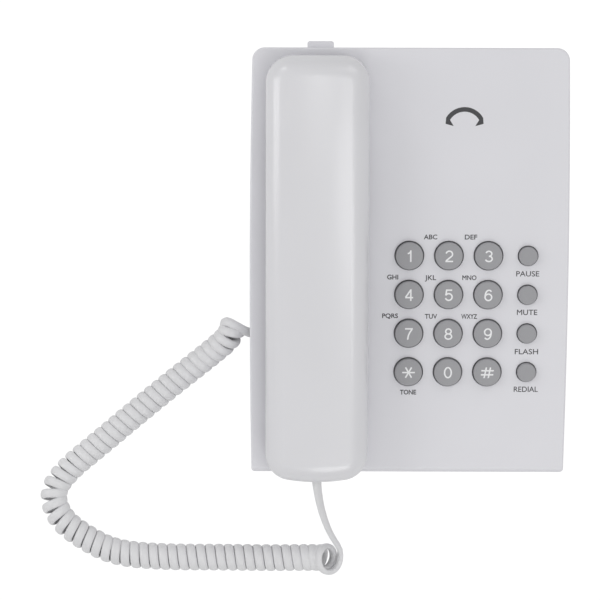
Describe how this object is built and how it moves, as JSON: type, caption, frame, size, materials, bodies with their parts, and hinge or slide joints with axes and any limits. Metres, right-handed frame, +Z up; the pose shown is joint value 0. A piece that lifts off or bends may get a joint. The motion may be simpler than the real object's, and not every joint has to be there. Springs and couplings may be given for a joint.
{
  "type": "corded landline phone",
  "caption": "Wedge-shaped corded desk telephone: handset in a cradle beside a round-key pad, with a curly handset cord, hook switch and wall-mount keyholes.",
  "frame": {"origin": "on the desk, under the middle of the base and handset together, cord left out", "axes": "+X to the user's right, +Y away from the user towards the rear wall, +Z up"},
  "size_m": [0.258, 0.2579, 0.0816],
  "materials": {
    "housing": "satin moulded",
    "handset": "smooth satin",
    "key": "satin",
    "cord": "soft vinyl",
    "rubber": "matte",
    "silicone": "matte",
    "carbon": "matte",
    "steel": "plated",
    "board": "solder mask",
    "black_resin": "moulded",
    "ferrite": "matte",
    "sleeve": "shrink sleeve",
    "resistor": "lacquer",
    "clear_resin": "clear",
    "gold": "plated",
    "brass": "bright",
    "aluminium": "satin",
    "zinc": "as cast",
    "wire": "vinyl"
  },
  "bodies": {
    "base": {"base_top_cover": "housing", "base_bottom_cover": "housing", "rubber_feet": "rubber", "base_screws": "steel", "keypad_membrane": "silicone", "carbon_pills": "carbon", "main_board": "board", "board_screws": "steel", "dialler_chip": "black_resin", "line_transformer": "ferrite", "capacitors": "sleeve", "rectifier": "black_resin", "resistors": "resistor", "hook_spring": "steel", "hook_switch": "black_resin", "line_jack": "clear_resin", "line_jack_contacts": "gold", "cord_port_jack": "black_resin", "ringer_chamber": "black_resin", "ringer_disc": "brass", "base_wires": "wire", "ringer_switch": "steel", "tone_pulse_switch": "steel", "cord_plug_base": "clear_resin", "cord_lead_base": "cord", "curly_cord": "cord", "cord_lead_handset": "cord"},
    "handset": {"handset_back_shell": "handset", "handset_face_shell": "handset", "handset_screws": "steel", "earpiece_gasket": "rubber", "earpiece_capsule": "black_resin", "microphone_boot": "rubber", "microphone_capsule": "aluminium", "balance_weight": "zinc", "handset_jack": "black_resin", "handset_wires": "wire", "cord_plug_handset": "clear_resin"},
    "hook": {"hook_lever": "housing"},
    "key_1": {"key_1": "key"},
    "key_2": {"key_2": "key"},
    "key_3": {"key_3": "key"},
    "key_4": {"key_4": "key"},
    "key_5": {"key_5": "key"},
    "key_6": {"key_6": "key"},
    "key_7": {"key_7": "key"},
    "key_8": {"key_8": "key"},
    "key_9": {"key_9": "key"},
    "key_star": {"key_star": "key"},
    "key_0": {"key_0": "key"},
    "key_hash": {"key_hash": "key"},
    "key_pause": {"key_pause": "key"},
    "key_mute": {"key_mute": "key"},
    "key_flash": {"key_flash": "key"},
    "key_redial": {"key_redial": "key"},
    "hanger": {"wall_hanger": "housing"},
    "ringer_level_knob": {"ringer_knob": "black_resin"},
    "tone_pulse_slider": {"tone_pulse_knob": "black_resin"}
  },
  "joints": [
    {"name": "handset_lift", "type": "slide", "parent": "base", "child": "handset", "axis": [0, -0.158, 0.9874], "range_m": [0, 0.06], "deforming": ["cord_lead_handset"]},
    {"name": "hook_lever", "type": "hinge", "parent": "base", "child": "hook", "pos_m": [-0.016, 0.06531, 0.03602], "axis": [0, 0.9874, 0.158], "range_deg": [0, 8.1], "deforming": ["hook_spring"]},
    {"name": "key_1_press", "type": "slide", "parent": "base", "child": "key_1", "axis": [0, 0.158, -0.9874], "range_m": [0, 0.0012], "stiffness_N_per_m": 400, "deforming": ["keypad_membrane"]},
    {"name": "key_2_press", "type": "slide", "parent": "base", "child": "key_2", "axis": [0, 0.158, -0.9874], "range_m": [0, 0.0012], "stiffness_N_per_m": 400, "deforming": ["keypad_membrane"]},
    {"name": "key_3_press", "type": "slide", "parent": "base", "child": "key_3", "axis": [0, 0.158, -0.9874], "range_m": [0, 0.0012], "stiffness_N_per_m": 400, "deforming": ["keypad_membrane"]},
    {"name": "key_4_press", "type": "slide", "parent": "base", "child": "key_4", "axis": [0, 0.158, -0.9874], "range_m": [0, 0.0012], "stiffness_N_per_m": 400, "deforming": ["keypad_membrane"]},
    {"name": "key_5_press", "type": "slide", "parent": "base", "child": "key_5", "axis": [0, 0.158, -0.9874], "range_m": [0, 0.0012], "stiffness_N_per_m": 400, "deforming": ["keypad_membrane"]},
    {"name": "key_6_press", "type": "slide", "parent": "base", "child": "key_6", "axis": [0, 0.158, -0.9874], "range_m": [0, 0.0012], "stiffness_N_per_m": 400, "deforming": ["keypad_membrane"]},
    {"name": "key_7_press", "type": "slide", "parent": "base", "child": "key_7", "axis": [0, 0.158, -0.9874], "range_m": [0, 0.0012], "stiffness_N_per_m": 400, "deforming": ["keypad_membrane"]},
    {"name": "key_8_press", "type": "slide", "parent": "base", "child": "key_8", "axis": [0, 0.158, -0.9874], "range_m": [0, 0.0012], "stiffness_N_per_m": 400, "deforming": ["keypad_membrane"]},
    {"name": "key_9_press", "type": "slide", "parent": "base", "child": "key_9", "axis": [0, 0.158, -0.9874], "range_m": [0, 0.0012], "stiffness_N_per_m": 400, "deforming": ["keypad_membrane"]},
    {"name": "key_star_press", "type": "slide", "parent": "base", "child": "key_star", "axis": [0, 0.158, -0.9874], "range_m": [0, 0.0012], "stiffness_N_per_m": 400, "deforming": ["keypad_membrane"]},
    {"name": "key_0_press", "type": "slide", "parent": "base", "child": "key_0", "axis": [0, 0.158, -0.9874], "range_m": [0, 0.0012], "stiffness_N_per_m": 400, "deforming": ["keypad_membrane"]},
    {"name": "key_hash_press", "type": "slide", "parent": "base", "child": "key_hash", "axis": [0, 0.158, -0.9874], "range_m": [0, 0.0012], "stiffness_N_per_m": 400, "deforming": ["keypad_membrane"]},
    {"name": "key_pause_press", "type": "slide", "parent": "base", "child": "key_pause", "axis": [0, 0.158, -0.9874], "range_m": [0, 0.0012], "stiffness_N_per_m": 400, "deforming": ["keypad_membrane"]},
    {"name": "key_mute_press", "type": "slide", "parent": "base", "child": "key_mute", "axis": [0, 0.158, -0.9874], "range_m": [0, 0.0012], "stiffness_N_per_m": 400, "deforming": ["keypad_membrane"]},
    {"name": "key_flash_press", "type": "slide", "parent": "base", "child": "key_flash", "axis": [0, 0.158, -0.9874], "range_m": [0, 0.0012], "stiffness_N_per_m": 400, "deforming": ["keypad_membrane"]},
    {"name": "key_redial_press", "type": "slide", "parent": "base", "child": "key_redial", "axis": [0, 0.158, -0.9874], "range_m": [0, 0.0012], "stiffness_N_per_m": 400, "deforming": ["keypad_membrane"]},
    {"name": "hanger_push", "type": "slide", "parent": "base", "child": "hanger", "axis": [0, -0.9874, -0.158], "range_m": [0, 0.0032]},
    {"name": "ringer_level_slide", "type": "slide", "parent": "base", "child": "ringer_level_knob", "axis": [1, 0, 0], "range_m": [0, 0.003]},
    {"name": "tone_pulse_slide", "type": "slide", "parent": "base", "child": "tone_pulse_slider", "axis": [1, 0, 0], "range_m": [0, 0.003]}
  ],
  "couplings": [
    {"joint": "hook_lever", "follows": "handset_lift", "rad_per_m": 2.3271}
  ]
}
